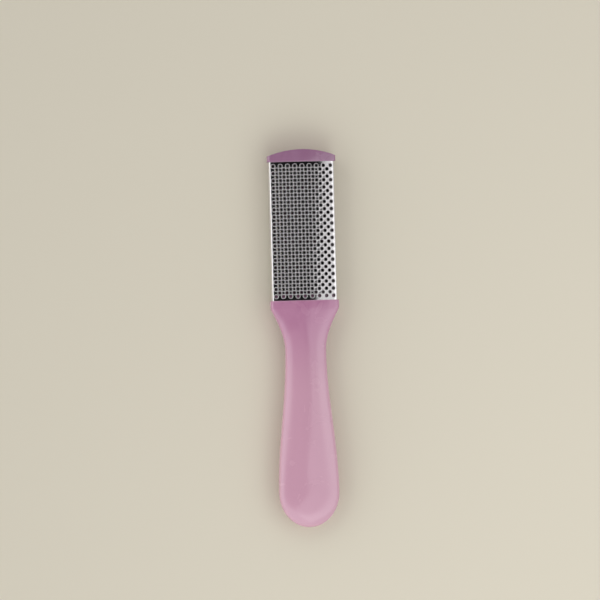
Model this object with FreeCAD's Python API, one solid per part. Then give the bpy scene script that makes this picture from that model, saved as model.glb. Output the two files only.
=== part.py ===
import FreeCAD, Part
import math
import os

# Foot file: a moulded grip whose open frame carries two pressed rasp plates, held by a clipped-on tip cap.
# All sizes are in millimetres. +Y runs from the butt to the tip and +Z out of the coarse face.
# The pieces are drawn about the head's middle plane, with Y zero at the collar's face, and are moved
# at the end so that the origin lies under the middle of the whole file, on the surface it rests on.

# Rasp plates: the shape that both share
plate_width = 27.2
plate_length_shown = 57.5
head_thickness = 10.0
plate_crown_radius = 52.0
plate_bend_radius = 0.9
sheet_thickness = 0.4
lip_length = 1.0
lip_bend_radius = 0.5

# Rasp plates: the punched pattern
hole_pitch = 3.0
pattern_end_margin = 1.75
pattern_side_margin = 0.05

# Coarse face
coarse_hole_diameter = 1.3
coarse_rim_base = 2.0
coarse_rim_top = 1.6
coarse_rim_height = 0.22

# Fine face
fine_hole_diameter = 0.9
fine_rim_base = 1.45
fine_rim_top = 1.15
fine_rim_height = 0.15

# Collar and tip cap: the moulded rims that hide the ends of the plates
rim_proud = 0.7
rim_edge_round = 0.4
collar_length = 3.4
collar_pocket_depth = 1.5
cap_length = 5.1
cap_side_length = 2.4
cap_rebate_depth = 1.3
cap_edge_round = 1.0

# Grip
handle_length = 94.4
neck_place = 21.0
neck_width = 17.1
neck_thickness = 9.4
belly_place = 58.0
widest_place = 80.0
grip_width = 25.2
butt_thickness = 10.4
grip_crown_share = 0.5
grip_corner_share = 0.92
flank_section_count = 4
neck_section_count = 4
belly_section_count = 3
butt_section_count = 6
butt_last_angle = 86.0

# Core: an open frame with rails that the plates slide on, and low cross ribs
plate_fit = 0.1
rail_thickness = 1.2
rail_setback = 0.2
core_side_wall = 1.4
core_root_length = 4.0
core_end_wall = 2.2
core_rib = 1.5
core_rib_height = 2.0
window_count = 5
window_corner = 1.0

# Tongue that the tip cap clips onto
tongue_width = 12.0
tongue_thickness = 4.4
tongue_length = 2.4
snap_radius = 0.6
snap_height = 0.3
cap_fit = 0.1

# How far a cutting shape runs past the surface that it opens
overrun = 1.0

# Sizes that follow from those above
plate_half_width = plate_width / 2
head_half = head_thickness / 2
collar_half_width = plate_half_width + rim_proud
collar_half = head_half + rim_proud
plate_top = plate_length_shown + cap_rebate_depth - plate_fit
plate_foot = plate_fit - collar_pocket_depth
core_top = plate_top
core_inset = sheet_thickness + plate_fit
hollow_width = plate_width - 2 * (core_inset + core_side_wall)
tip = plate_length_shown + cap_length
row_pitch = hole_pitch / 2

Vector = FreeCAD.Vector
Point = FreeCAD.Base.Vector2d


def polar(centre, radius, angle):
    """The point at an angle, in radians from +X towards +Z, on a circle in the section plane."""
    return centre + Vector(radius * math.cos(angle), 0, radius * math.sin(angle))


class Section:
    """A symmetrical section across the file: crowned faces, rounded corners and upright sides."""

    def __init__(self, half_width, half_height, crown_radius, corner_radius, y):
        self.half_width = half_width
        self.half_height = half_height
        self.y = y
        self.crown_centre = Vector(0, y, half_height - crown_radius)
        across = half_width - corner_radius
        up = math.sqrt((crown_radius - corner_radius) ** 2 - across ** 2)
        self.side_top = half_height - crown_radius + up
        self.corner_centre = Vector(across, y, self.side_top)
        self.turn = math.atan2(up, across)
        self.shoulder = polar(self.crown_centre, crown_radius, self.turn)
        self.corner = polar(self.corner_centre, corner_radius, self.turn / 2)

    def point(self, x_sign, z_sign, point):
        """A point of the upper right quarter, moved to another quarter."""
        return Vector(x_sign * point.x, point.y, z_sign * point.z)

    def crown(self, z_sign):
        """The crowned face, from right to left on top and from left to right below."""
        start = self.point(z_sign, z_sign, self.shoulder)
        middle = Vector(0, self.y, z_sign * self.half_height)
        end = self.point(-z_sign, z_sign, self.shoulder)
        return Part.Arc(start, middle, end).toShape()

    def bend(self, x_sign, z_sign, upwards):
        """A rounded corner, from the side to the face when upwards, and back when not."""
        side = self.point(x_sign, z_sign, Vector(self.half_width, self.y, self.side_top))
        corner = self.point(x_sign, z_sign, self.corner)
        face = self.point(x_sign, z_sign, self.shoulder)
        if upwards:
            return Part.Arc(side, corner, face).toShape()
        return Part.Arc(face, corner, side).toShape()

    def side(self, x_sign, from_z, to_z):
        """An upright side."""
        start = Vector(x_sign * self.half_width, self.y, from_z)
        end = Vector(x_sign * self.half_width, self.y, to_z)
        return Part.LineSegment(start, end).toShape()

    def wire(self):
        """The whole closed section."""
        top = self.side_top
        return Part.Wire([
            self.side(1, -top, top), self.bend(1, 1, True), self.crown(1), self.bend(-1, 1, False),
            self.side(-1, top, -top), self.bend(-1, -1, True), self.crown(-1), self.bend(1, -1, False),
        ])

    def upper_wire(self, floor, foot_radius):
        """The part of the section above a level floor, with its two lower corners rounded."""
        wall = self.half_width
        inner = wall - foot_radius
        bevel = foot_radius * (1 - math.sqrt(0.5))
        start = floor + foot_radius
        right = Part.Arc(Vector(inner, self.y, floor), Vector(wall - bevel, self.y, floor + bevel),
                         Vector(wall, self.y, start)).toShape()
        left = Part.Arc(Vector(-wall, self.y, start), Vector(bevel - wall, self.y, floor + bevel),
                        Vector(-inner, self.y, floor)).toShape()
        ground = Part.LineSegment(Vector(-inner, self.y, floor), Vector(inner, self.y, floor)).toShape()
        return Part.Wire([
            self.side(1, start, self.side_top), self.bend(1, 1, True), self.crown(1),
            self.bend(-1, 1, False), self.side(-1, self.side_top, start), left, ground, right,
        ])


def head_section(growth, y):
    """The outside of the plates, grown evenly outwards, or inwards when growth is negative."""
    return Section(plate_half_width + growth, head_half + growth, plate_crown_radius + growth,
                   plate_bend_radius + growth, y)


def along(wire, length):
    """A closed section carried along +Y."""
    return Part.Face(wire).extrude(Vector(0, length, 0))


def end_face(shape, direction):
    """The face of a shape that lies furthest along +Y, or along -Y when direction is negative."""
    return max(shape.Faces, key=lambda face: direction * face.CenterOfMass.y)


def centred_box(width, length, height, y, z):
    """A box centred on the Y axis in X, from y onwards, and from z upwards."""
    return Part.makeBox(width, length, height, Vector(-width / 2, y, z))


def both_faces(shape):
    """A shape above the middle plane, and its twin below."""
    return [shape, shape.rotated(Vector(0, 0, 0), Vector(0, 1, 0), 180)]


def hole_places(rim_base):
    """The centre and outward direction of each hole: staggered rows whose rims stay clear of the bends."""
    crown_angle = math.asin((plate_half_width - plate_bend_radius) / (plate_crown_radius - plate_bend_radius))
    reach = plate_crown_radius * crown_angle - rim_base / 2 - pattern_side_margin
    columns = int(reach / row_pitch)
    usable = plate_length_shown - 2 * pattern_end_margin
    rows = int(usable / row_pitch + 0.5)
    first_row = (plate_length_shown - rows * row_pitch) / 2
    centre_height = head_half - plate_crown_radius
    for row in range(rows + 1):
        for column in range(-columns, columns + 1):
            if (row + column + columns) % 2 == 0:
                angle = column * row_pitch / plate_crown_radius
                outward = Vector(math.sin(angle), 0, math.cos(angle))
                place = Vector(0, first_row + row * row_pitch, centre_height)
                yield place + outward * plate_crown_radius, outward


def pierced(face, centres, radius):
    """A crowned face with a round hole about each centre, and the edges of those holes."""
    surface = face.Surface
    opened = surface.toShape(*face.ParameterRange)
    edges = []
    for centre in centres:
        u, v = surface.parameter(centre)
        end = Point(u, v + radius)
        side = Point(u + radius / surface.Radius, v)
        outline = Part.Geom2d.Ellipse2d(end, side, Point(u, v))
        edges.append(outline.toShape(surface))
        opened = Part.Face(opened, Part.Wire(edges[-1]))
    return opened, edges


def ring(centre, outward, start, radius):
    """A circle about an outward direction, beginning on the side where another edge begins."""
    circle = Part.Circle(centre, -outward, radius)
    circle.XAxis = start - centre
    return circle.toShape()


def rasp_plate(hole_diameter, rim_base, rim_top, rim_height):
    """A crowned sheet with rolled-in lips, pierced from behind so that each hole has a raised rim."""
    length = plate_top - plate_foot
    lip_floor = rail_thickness / 2
    outside = head_section(0, plate_foot).upper_wire(lip_floor, lip_bend_radius)
    inside = head_section(-sheet_thickness, plate_foot - overrun).upper_wire(
        lip_floor + sheet_thickness, lip_bend_radius - sheet_thickness)
    mouth = centred_box(2 * (plate_half_width - lip_length), length + 2 * overrun, 2 * sheet_thickness,
                        plate_foot - overrun, lip_floor - sheet_thickness / 2)
    sheet = along(outside, length).cut([along(inside, length + 2 * overrun), mouth])
    crowns = [face for face in sheet.Faces if abs(face.CenterOfMass.x) < sheet_thickness
              and isinstance(face.Surface, Part.Cylinder)]
    inner, outer = sorted(crowns, key=lambda face: face.Surface.Radius)
    places = list(hole_places(rim_base))
    outer_face, outer_edges = pierced(outer, [place for place, outward in places], rim_base / 2)
    inner_centres = [place - outward * sheet_thickness for place, outward in places]
    inner_face, inner_edges = pierced(inner, inner_centres, (rim_base + hole_diameter) / 4)
    faces = [face for face in sheet.Faces if not face.isSame(inner) and not face.isSame(outer)]
    faces += [outer_face, inner_face]
    for (place, outward), outer_edge, inner_edge in zip(places, outer_edges, inner_edges):
        summit = place + outward * rim_height
        start = outer_edge.valueAt(outer_edge.FirstParameter)
        top = ring(summit, outward, start - place + summit, rim_top / 2)
        hole = ring(summit, outward, start - place + summit, hole_diameter / 2)
        faces.append(Part.makeRuledSurface(outer_edge, top))
        faces += Part.makeFace([Part.Wire(top), Part.Wire(hole)], "Part::FaceMakerBullseye").Faces
        faces.append(Part.makeRuledSurface(hole, inner_edge))
    shell = Part.makeCompound(faces)
    shell.sewShape()
    solid = Part.Solid(shell.Shells[0])
    if solid.Volume < 0:
        solid.reverse()
    return solid


def ease(share):
    """A smooth step from 0 to 1, level at both ends."""
    return (1 - math.cos(math.pi * share)) / 2


def grip_section(place):
    """The grip's section at a distance behind the collar's face."""
    collar = head_section(rim_proud, -place)
    collar_crown_radius = plate_crown_radius + rim_proud
    collar_sagitta = collar_crown_radius - math.sqrt(collar_crown_radius ** 2 - collar_half_width ** 2)
    collar_crown_share = collar_sagitta / collar_half
    collar_corner_share = (plate_bend_radius + rim_proud) / (collar_half - collar_sagitta)
    neck_half_width = neck_width / 2
    neck_half = neck_thickness / 2
    grip_half_width = grip_width / 2
    butt_half = butt_thickness / 2
    left_of_collar = 0
    if place <= neck_place:
        flank = (place - collar_length) / (neck_place - collar_length)
        left_of_collar = 1 - math.sin(math.pi / 2 * flank)
        half_width = neck_half_width + (collar.half_width - neck_half_width) * left_of_collar
        half_height = neck_half + (collar_half - neck_half) * left_of_collar
    elif place <= widest_place:
        half_width = neck_half_width + (grip_half_width - neck_half_width) * ease(
            (place - neck_place) / (widest_place - neck_place))
        if place <= belly_place:
            half_height = neck_half + (collar_half - neck_half) * ease(
                (place - neck_place) / (belly_place - neck_place))
        else:
            half_height = collar_half + (butt_half - collar_half) * ease(
                (place - belly_place) / (widest_place - belly_place))
    else:
        end = (place - widest_place) / (handle_length - widest_place)
        roundness = math.sqrt(1 - end ** 2)
        half_width = grip_half_width * roundness
        half_height = butt_half * roundness
    crown_share = grip_crown_share + (collar_crown_share - grip_crown_share) * left_of_collar
    corner_share = grip_corner_share + (collar_corner_share - grip_corner_share) * left_of_collar
    sagitta = crown_share * half_height
    crown_radius = (half_width ** 2 + sagitta ** 2) / (2 * sagitta)
    return Section(half_width, half_height, crown_radius, corner_share * (half_height - sagitta), -place)


def between(start, end, count):
    """Evenly spaced places from start, up to but not at end."""
    return [start + (end - start) * step / count for step in range(count)]


def grip():
    """The hand grip, from the collar's back round the neck and belly to the rounded butt."""
    places = between(collar_length, neck_place, flank_section_count)
    places += between(neck_place, belly_place, neck_section_count)
    places += between(belly_place, widest_place, belly_section_count)
    for step in range(butt_section_count + 1):
        angle = math.radians(butt_last_angle * step / butt_section_count)
        places.append(widest_place + (handle_length - widest_place) * math.sin(angle))
    return Part.makeLoft([grip_section(place).wire() for place in places], True, False)


def collar():
    """The rim in front of the grip, with the pocket that the plates' ends slide into."""
    rim = along(head_section(rim_proud, -collar_length).wire(), collar_length)
    rim = rim.makeFillet(rim_edge_round, end_face(rim, 1).Edges)
    pocket = along(head_section(plate_fit, -collar_pocket_depth).wire(), collar_pocket_depth + overrun)
    return rim.cut(pocket)


def core_hollow():
    """The hollow inside the frame, open to both faces, where the filed skin collects."""
    length = core_top - core_end_wall - core_root_length
    hollow = centred_box(hollow_width, length, head_thickness, core_root_length, -head_half)
    upright = [edge for edge in hollow.Edges if abs(edge.tangentAt(edge.FirstParameter).z) > 0.5]
    return hollow.makeFillet(window_corner, upright)


def core_ribs():
    """The low cross ribs that part the hollow into windows, clear of both plates."""
    pitch = (core_top - core_end_wall - core_root_length + core_rib) / window_count
    width = hollow_width + core_side_wall / 2
    first = core_root_length + pitch - core_rib
    return [centred_box(width, core_rib, core_rib_height, first + step * pitch, -core_rib_height / 2)
            for step in range(window_count - 1)]


def core():
    """The core: a frame with eared rails along both sides, open between its low cross ribs."""
    foot = -collar_pocket_depth
    length = core_top - foot
    body = along(head_section(-core_inset, foot).wire(), length)
    groove_floor = rail_thickness / 2 - plate_fit
    groove_height = sheet_thickness + 2 * plate_fit
    groove_depth = lip_length + plate_fit
    groove_start = plate_half_width - groove_depth
    groove = Part.makeBox(groove_depth + overrun, length, groove_height,
                          Vector(groove_start, foot, groove_floor))
    other_groove = groove.mirror(Vector(0, 0, 0), Vector(1, 0, 0))
    fin_width = plate_width - 2 * rail_setback
    fin = centred_box(fin_width, length, 2 * groove_floor, foot, -groove_floor)
    railed = body.cut(both_faces(groove) + both_faces(other_groove)).fuse(fin)
    return railed.cut(core_hollow()).fuse(core_ribs())


def tongue(growth, length):
    """The tongue at the core's tip with its two snap beads, or its socket when growth is a clearance."""
    blade = centred_box(tongue_width + 2 * growth, length, tongue_thickness + 2 * growth,
                        core_top, -tongue_thickness / 2 - growth)
    bead_axis = tongue_thickness / 2 + snap_height - snap_radius
    bead = Part.makeCylinder(snap_radius + growth, tongue_width + 2 * growth,
                             Vector(-tongue_width / 2 - growth, core_top + tongue_length / 2, bead_axis),
                             Vector(1, 0, 0))
    return blade.fuse(both_faces(bead))


def handle():
    """Grip, collar, core and tongue: one moulding."""
    return collar().fuse([grip(), core(), tongue(0, tongue_length)]).removeSplitter()


def tip_cap():
    """The arched cap that clips onto the tongue and hides the tip ends of both plates."""
    section = head_section(rim_proud, plate_length_shown)
    arch = cap_length - cap_side_length
    side = plate_length_shown + cap_side_length
    low = Vector(0, 0, -2 * collar_half)
    left = Vector(-collar_half_width, side, 0) + low
    right = Vector(collar_half_width, side, 0) + low
    foot = Vector(0, plate_length_shown - side, 0)
    outline = Part.Wire([
        Part.Arc(right, Vector(0, side + arch, 0) + low, left).toShape(),
        Part.LineSegment(left, left + foot).toShape(),
        Part.LineSegment(left + foot, right + foot).toShape(),
        Part.LineSegment(right + foot, right).toShape(),
    ])
    arched = Part.Face(outline).extrude(Vector(0, 0, 4 * collar_half))
    body = along(section.wire(), cap_length).common(arched)
    body = body.makeFillet(cap_edge_round, end_face(body, 1).Edges)
    body = body.makeFillet(rim_edge_round, end_face(body, -1).Edges)
    rebate = along(head_section(plate_fit, plate_length_shown - overrun).wire(), cap_rebate_depth + overrun)
    return body.cut([rebate, tongue(cap_fit, tongue_length + cap_fit)])


def place_on_surface(shape):
    """Moves a piece from the drawing frame to the part's own frame."""
    return shape.translated(Vector(0, (handle_length - tip) / 2, collar_half))


def main():
    os.makedirs("parts", exist_ok=True)
    coarse = rasp_plate(coarse_hole_diameter, coarse_rim_base, coarse_rim_top, coarse_rim_height)
    fine = rasp_plate(fine_hole_diameter, fine_rim_base, fine_rim_top, fine_rim_height)
    pieces = {
        "handle": handle(),
        "tip_cap": tip_cap(),
        "coarse_rasp_plate": coarse,
        "fine_rasp_plate": both_faces(fine)[1],
    }
    for name, shape in pieces.items():
        place_on_surface(shape).exportStep("parts/" + name + ".step")
        print(name, "solids", len(shape.Solids), "faces", len(shape.Faces), "volume", round(shape.Volume, 1),
              "valid", shape.isValid())


main()
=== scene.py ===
import logging
import math
from dataclasses import dataclass, field
from enum import Enum
from typing import Callable

import bmesh
import bpy
from bmesh.types import BMEdge, BMesh, BMFace, BMVert
from bpy.types import Material, Node, NodeSocket, NodeTree, Object
from mathutils import Matrix, Vector


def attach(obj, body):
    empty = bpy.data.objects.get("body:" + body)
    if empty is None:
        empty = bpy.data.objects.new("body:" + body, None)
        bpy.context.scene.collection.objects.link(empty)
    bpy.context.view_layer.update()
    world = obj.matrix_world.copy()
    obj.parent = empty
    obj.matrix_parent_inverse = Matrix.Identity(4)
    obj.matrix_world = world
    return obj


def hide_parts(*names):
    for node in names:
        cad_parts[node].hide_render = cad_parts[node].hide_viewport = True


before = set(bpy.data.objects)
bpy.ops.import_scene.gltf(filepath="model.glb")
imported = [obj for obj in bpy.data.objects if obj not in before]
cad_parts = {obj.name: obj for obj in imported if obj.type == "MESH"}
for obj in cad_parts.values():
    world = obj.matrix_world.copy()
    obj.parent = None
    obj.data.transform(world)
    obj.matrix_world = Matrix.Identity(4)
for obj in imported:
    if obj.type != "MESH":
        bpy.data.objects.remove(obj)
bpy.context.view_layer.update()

LOG = logging.getLogger("foot_file")
MM = 0.001
BODY = "root"
INSIDE = "inside"
TOUCHING = 1e-3 * MM
QUARTER_TURN = math.pi / 2
BOTH_SIDES = (1, -1)
DIAMOND_SIDES = 4
ROUND_PROFILE = 0.5
SAME_MATERIAL = -1
ACROSS = Vector((1.0, 0.0, 0.0))
ALONG = Vector((0.0, 1.0, 0.0))
UP = Vector((0.0, 0.0, 1.0))

Colour = tuple[float, float, float, float]
Span = tuple[float, float]
WHITE: Colour = (1.0, 1.0, 1.0, 1.0)

# Places of the colour sockets on a Mix node, whose names repeat.
MIX_SHARE, MIX_ONE, MIX_TWO, MIX_RESULT = 0, 6, 7, 2


class Slot(Enum):
    """The record's material slots."""

    PLASTIC = "pink_plastic"
    STEEL = "plated_steel"


class Side(Enum):
    """The face of the file that a rasp plate covers."""

    COARSE = "coarse"
    FINE = "fine"


class Mark(Enum):
    """What a point of a skin is, as the mesh's layer of marks keeps it."""

    CLEAN = 0.0
    TORN = 0.5
    # Hidden points get painted shade.
    HIDDEN = 1.0


@dataclass(frozen=True)
class RingSteps:
    """How finely a section's quarter outline is divided.

    Attributes:
        side: Steps up the upright side.
        corner: Steps round the corner.
        crown: Steps from the corner to the middle of the crowned face.
    """

    side: int = 3
    corner: int = 6
    crown: int = 10

    @property
    def around(self) -> int:
        """Steps in the whole ring."""
        return 4 * (self.side + self.corner + self.crown)


@dataclass(frozen=True)
class Section:
    """A section across the file: crowned faces, rounded corners and upright sides.

    Attributes:
        half_width: From the middle to the upright side.
        half_height: From the middle plane to the top of the crown.
        crown_radius: Radius of the crowned face.
        corner_radius: Radius between the face and the side.
    """

    half_width: float
    half_height: float
    crown_radius: float
    corner_radius: float

    @property
    def crown_centre(self) -> Vector:
        """Centre of the upper face's arc."""
        return Vector((0.0, self.half_height - self.crown_radius))

    @property
    def corner_centre(self) -> Vector:
        """Works out the centre of the upper right corner's arc.

        Returns:
            The centre.
        """
        across = self.half_width - self.corner_radius
        up = math.sqrt((self.crown_radius - self.corner_radius) ** 2 - across ** 2)
        return Vector((across, self.half_height - self.crown_radius + up))

    @property
    def crown_angle(self) -> float:
        """Angle of the crown's end, from the upright through its centre."""
        across = self.half_width - self.corner_radius
        return math.asin(across / (self.crown_radius - self.corner_radius))

    def quarter(self, steps: RingSteps) -> list[Vector]:
        """Points from the middle of the right side to the middle of the upper face.

        Args:
            steps: How finely the quarter is divided.

        Returns:
            Points without the last one, which begins the next quarter.
        """
        centre = self.corner_centre
        turn = QUARTER_TURN - self.crown_angle
        points = [Vector((self.half_width, centre.y * step / steps.side)) for step in range(steps.side)]
        for step in range(steps.corner):
            angle = turn * step / steps.corner
            points.append(centre + self.corner_radius * Vector((math.cos(angle), math.sin(angle))))
        middle = self.crown_centre
        for step in range(steps.crown):
            angle = self.crown_angle * (1 - step / steps.crown)
            points.append(middle + self.crown_radius * Vector((math.sin(angle), math.cos(angle))))
        return points

    def outline(self, steps: RingSteps) -> list[Vector]:
        """The closed outline, from the middle of the right side over the top and round.

        Args:
            steps: How finely each quarter is divided.

        Returns:
            One point for each step around.
        """
        first = self.quarter(steps)
        top = Vector((0.0, self.half_height))
        second = [Vector((-point.x, point.y)) for point in reversed(first)]
        upper = first + [top] + second[:-1]
        left = Vector((-self.half_width, 0.0))
        lower = [-point for point in upper[1:]]
        return upper + [left] + lower


@dataclass(frozen=True)
class Head:
    """Sizes that the core, the plates, the collar and the cap share, in metres.

    The drawing frame has its zero at the collar's face, on the middle plane.

    Attributes:
        plate_width: Width over a plate.
        shown_length: Length of the plates between the collar and the cap.
        thickness: Height over the crowns of both plates.
        crown_radius: Radius of a plate's crown.
        bend_radius: Outer radius between a plate's crown and its sides.
        sheet: Thickness of the plates' sheet.
        rim_proud: How far the collar and the cap stand out past the plates.
        fit: Clearance between the pieces.
        pocket_depth: Depth of the collar's pocket round the plates.
        rebate_depth: Depth of the cap's rebate round them.
        rail: Gap between the two plates' lips.
        tongue_width: Width of the clip tongue.
        tongue_thickness: Its thickness.
        tongue_length: Its length.
        handle_length: From the collar's face to the butt.
        cap_length: From the cap's lip to the top of its arch.
    """

    plate_width: float = 27.2 * MM
    shown_length: float = 57.5 * MM
    thickness: float = 10.0 * MM
    crown_radius: float = 52.0 * MM
    bend_radius: float = 0.9 * MM
    sheet: float = 0.4 * MM
    rim_proud: float = 0.7 * MM
    fit: float = 0.1 * MM
    pocket_depth: float = 1.5 * MM
    rebate_depth: float = 1.3 * MM
    rail: float = 1.2 * MM
    tongue_width: float = 12.0 * MM
    tongue_thickness: float = 4.4 * MM
    tongue_length: float = 2.4 * MM
    handle_length: float = 94.4 * MM
    cap_length: float = 5.1 * MM

    def section(self, growth: float) -> Section:
        """The plates' outside, grown evenly outwards, or inwards when growth is negative."""
        return Section(self.plate_width / 2 + growth, self.thickness / 2 + growth,
                       self.crown_radius + growth, self.bend_radius + growth)

    @property
    def plate_top(self) -> float:
        """The plates' end inside the cap."""
        return self.shown_length + self.rebate_depth - self.fit

    @property
    def plate_foot(self) -> float:
        """The plates' end inside the collar's pocket."""
        return self.fit - self.pocket_depth

    @property
    def origin(self) -> Vector:
        """Where the drawing frame's zero lies in the part's frame."""
        return Vector((0.0, (self.handle_length - self.shown_length - self.cap_length) / 2,
                       self.thickness / 2 + self.rim_proud))


def verts_of(made: list[object]) -> list[BMVert]:
    """The vertices among what an operator made."""
    return [item for item in made if isinstance(item, BMVert)]


def edges_of(faces: list[BMFace]) -> list[BMEdge]:
    """The edges round some faces, each of them once."""
    return list(dict.fromkeys(edge for face in faces for edge in face.edges))


def mark_verts(mesh: BMesh, verts: list[BMVert], mark: Mark) -> None:
    """Marks points of a skin.

    Args:
        mesh: The skin, with a layer for marks.
        verts: The points.
        mark: What they are.
    """
    layer = mesh.verts.layers.float[INSIDE]
    for vert in verts:
        vert[layer] = mark.value


def bevel_edges(mesh: BMesh, edges: list[BMEdge], offset: float, segments: int) -> None:
    """Rounds edges over.

    Args:
        mesh: The mesh that holds them.
        edges: The edges.
        offset: Size of the round.
        segments: Steps in the round.
    """
    bmesh.ops.bevel(mesh, geom=edges, offset=offset, segments=segments, profile=ROUND_PROFILE,
                    affect="EDGES", material=SAME_MATERIAL, clamp_overlap=True)


def score(mesh: BMesh, faces: list[BMFace], place: Vector, normal: Vector) -> None:
    """Cuts faces in two along a plane, leaving both sides in place.

    Args:
        mesh: The mesh that holds them.
        faces: The faces.
        place: A point of the plane.
        normal: The plane's direction.
    """
    verts = dict.fromkeys(vert for face in faces for vert in face.verts)
    cut = [*verts, *edges_of(faces), *faces]
    bmesh.ops.bisect_plane(mesh, geom=cut, dist=TOUCHING, plane_co=place, plane_no=normal)


def push(mesh: BMesh, faces: list[BMFace], move: Callable[[Vector], Vector]) -> None:
    """Extrudes a patch of faces and moves it.

    Args:
        mesh: The mesh that holds it.
        faces: The patch.
        move: Gives each moved point's new place.
    """
    made = bmesh.ops.extrude_face_region(mesh, geom=faces)["geom"]
    for vert in verts_of(made):
        vert.co = move(vert.co)
    bmesh.ops.delete(mesh, geom=[face for face in faces if face.is_valid], context="FACES_ONLY")


def eased(place: float, start: float, end: float, low: float, high: float) -> float:
    """A value that goes smoothly from one level to another and is level at both ends.

    Args:
        place: Where it is wanted.
        start: Where it leaves the first level.
        end: Where it reaches the second one.
        low: The first level.
        high: The second level.

    Returns:
        The value there.
    """
    share = (1 - math.cos(math.pi * (place - start) / (end - start))) / 2
    return between(low, high, share)


def between(low: float, high: float, share: float) -> float:
    """The value at a share of the way from one value to another."""
    return low + (high - low) * share


def rounded(place: Vector) -> tuple[int, int]:
    """A place on a flat blank, in whole steps of the touching distance."""
    return round(place.x / TOUCHING), round(place.y / TOUCHING)


class RingStack:
    """A skin grown ring by ring, each ring extruded from the last one and set on a section."""

    def __init__(self, mesh: BMesh, steps: RingSteps, section: Section, y: float) -> None:
        """Starts the skin with one ring.

        Args:
            mesh: The mesh that the skin grows in.
            steps: How finely the rings are divided.
            section: Section of the first ring.
            y: Place of the first ring along the file.
        """
        self.mesh = mesh
        self.steps = steps
        made = bmesh.ops.create_circle(mesh, cap_ends=False, segments=steps.around, radius=1.0)
        self.ring: list[BMVert] = made["verts"]
        self.place(section, lambda x: y)

    def place(self, section: Section, y_at: Callable[[float], float]) -> None:
        """Sets the newest ring on a section, with each point's place along the file given by its x."""
        for vert, point in zip(self.ring, section.outline(self.steps)):
            vert.co = Vector((point.x, y_at(point.x), point.y))

    def carry(self, section: Section, y_at: float | Callable[[float], float]) -> None:
        """Extrudes the newest ring onto another section.

        Args:
            section: Section of the new ring.
            y_at: Its place along the file, or a function that gives it for each x.
        """
        made = bmesh.ops.extrude_edge_only(self.mesh, edges=self.edges())["geom"]
        old = {vert: number for number, vert in enumerate(self.ring)}
        fresh: dict[int, BMVert] = {}
        for vert in verts_of(made):
            for edge in vert.link_edges:
                if edge.other_vert(vert) in old:
                    fresh[old[edge.other_vert(vert)]] = vert
        self.ring = [fresh[number] for number in range(len(old))]
        self.place(section, y_at if callable(y_at) else lambda x: y_at)

    def edges(self) -> list[BMEdge]:
        """The newest ring's edges, in order."""
        pairs = zip(self.ring, self.ring[1:] + self.ring[:1])
        return [self.mesh.edges.get(pair) for pair in pairs]

    def close(self) -> None:
        """Fills the newest ring with one face."""
        bmesh.ops.contextual_create(self.mesh, geom=self.edges())

    def close_upright(self) -> None:
        """Fills the newest ring with upright strips, which follow an end that is arched in plan."""
        self.close()
        count = len(self.ring)
        for number in range(1, count // 2):
            pair = [self.ring[number], self.ring[count - number]]
            bmesh.ops.connect_verts(self.mesh, verts=pair)

    def draw_to_point(self, y: float) -> None:
        """Draws the newest ring together in one point on the middle line."""
        made = bmesh.ops.extrude_edge_only(self.mesh, edges=self.edges())["geom"]
        bmesh.ops.pointmerge(self.mesh, verts=verts_of(made), merge_co=y * ALONG)


@dataclass
class Piece:
    """A finished piece and the solid that it stands for.

    Attributes:
        name: The piece's name.
        node: The solid that it stands for.
        slot: The record's material slot; not used.
        sharp_degrees: Edges that turn by more stay crisp.
    """

    name: str
    node: str
    slot: Slot
    sharp_degrees: float

    def finish(self, mesh: BMesh, origin: Vector, material: Material) -> Object:
        """Turns a finished mesh into the piece.

        Args:
            mesh: The mesh in the drawing frame; it is freed.
            origin: Where the drawing frame's zero lies in the part's frame.
            material: The piece's finish.

        Returns:
            The new object, at the origin.
        """
        bmesh.ops.remove_doubles(mesh, verts=mesh.verts, dist=TOUCHING)
        bmesh.ops.recalc_face_normals(mesh, faces=mesh.faces)
        bmesh.ops.translate(mesh, verts=mesh.verts, vec=origin)
        data = bpy.data.meshes.new(self.name)
        mesh.to_mesh(data)
        mesh.free()
        data.shade_smooth()
        data.set_sharp_from_angle(angle=math.radians(self.sharp_degrees))
        data.materials.append(material)
        piece = bpy.data.objects.new(self.name, data)
        bpy.context.scene.collection.objects.link(piece)
        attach(piece, BODY)
        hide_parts(self.node)
        LOG.info("%s: %d faces", self.name, len(data.polygons))
        return piece


def shape_tongue(mesh: BMesh, head: Head, y: float, growth: float) -> None:
    """Draws the clip tongue, or its socket, out of the flat face at a place along the file.

    Args:
        mesh: The mesh with that face.
        head: Sizes of the tongue.
        y: The face's place.
        growth: How much larger than the tongue it is all round.
    """
    half = head.tongue_width / 2 + growth
    high = head.tongue_thickness / 2 + growth

    def end_faces() -> list[BMFace]:
        """The faces that lie flat at that place."""
        return [face for face in mesh.faces if all(abs(vert.co.y - y) < TOUCHING for vert in face.verts)]

    for axis, reach in ((ACROSS, half), (UP, high)):
        for sign in BOTH_SIDES:
            score(mesh, end_faces(), sign * reach * axis, axis)
    middle = [face for face in end_faces()
              if abs(face.calc_center_median().x) < half and abs(face.calc_center_median().z) < high]
    push(mesh, middle, lambda co: co + (head.tongue_length + growth) * ALONG)


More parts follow.
